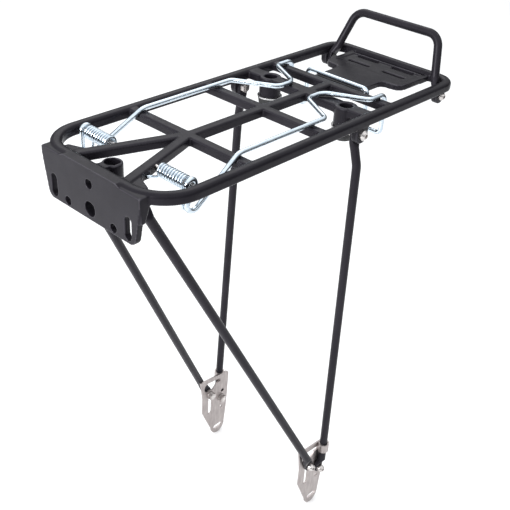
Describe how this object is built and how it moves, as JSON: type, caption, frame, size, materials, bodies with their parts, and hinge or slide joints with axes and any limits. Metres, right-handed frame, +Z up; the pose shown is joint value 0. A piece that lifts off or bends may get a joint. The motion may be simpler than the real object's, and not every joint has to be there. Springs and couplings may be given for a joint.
{
  "type": "rear rack",
  "caption": "Bicycle rear rack: cast platform with spring clip, adapter sockets, lamp plate and folding tail hoop on rod legs with slotted foot plates.",
  "frame": {"origin": "centre of the large bore in the front mounting plate, on the plate's front face", "axes": "+Z up, -Y towards the bicycle's front (the way the front plate faces), +X towards the rider's left"},
  "size_m": [0.1688, 0.3717, 0.4928],
  "materials": {
    "cast_black": "satin black powder coat on cast aluminium",
    "rod_black": "semi-gloss black paint on steel rod",
    "spring_zinc": "bright zinc plate on steel wire",
    "stainless": "tumbled stainless sheet",
    "bolt_steel": "plain stainless fasteners",
    "nut_steel": "matt stainless nuts and washers",
    "nut_black": "black fasteners",
    "cup_plastic": "black moulded plastic",
    "ring_steel": "spring steel snap ring"
  },
  "bodies": {
    "rack": {"platform_ring": "cast_black", "deck_bars": "cast_black", "front_plate": "cast_black", "lamp_plate": "cast_black", "front_socket": "cast_black", "rear_socket_right": "cast_black", "rear_socket_left": "cast_black", "socket_ring_right": "ring_steel", "socket_ring_left": "ring_steel", "socket_cup_right": "cup_plastic", "socket_cup_left": "cup_plastic", "pivot_pin_right": "bolt_steel", "pivot_pin_left": "bolt_steel", "torsion_spring_right": "spring_zinc", "torsion_spring_left": "spring_zinc", "hoop_screws": "bolt_steel", "hoop_nuts": "nut_black", "front_leg_right": "rod_black", "front_leg_left": "rod_black", "rear_leg_right": "rod_black", "rear_leg_left": "rod_black", "front_leg_bolts": "bolt_steel", "front_leg_nuts": "nut_steel", "rear_leg_bolts": "bolt_steel", "rear_leg_nuts": "nut_steel", "foot_plate_right": "stainless", "foot_plate_left": "stainless", "foot_bolts": "bolt_steel", "foot_washers": "nut_steel", "foot_nuts": "nut_steel"},
    "clip": {"spring_clip": "spring_zinc"},
    "hoop": {"tail_hoop": "rod_black"}
  },
  "joints": [
    {"name": "clip_lift", "type": "hinge", "parent": "rack", "child": "clip", "pos_m": [0, 0.0435, 0.0288], "axis": [1, 0, 0], "range_deg": [0, 70], "stiffness_Nm_per_rad": 1.9, "springref_deg": -37.24, "deforming": ["torsion_spring_right", "torsion_spring_left"]},
    {"name": "hoop_fold", "type": "hinge", "parent": "rack", "child": "hoop", "pos_m": [0, 0.3507, 0.0198], "axis": [1, 0, 0], "range_deg": [0, 90]}
  ]
}
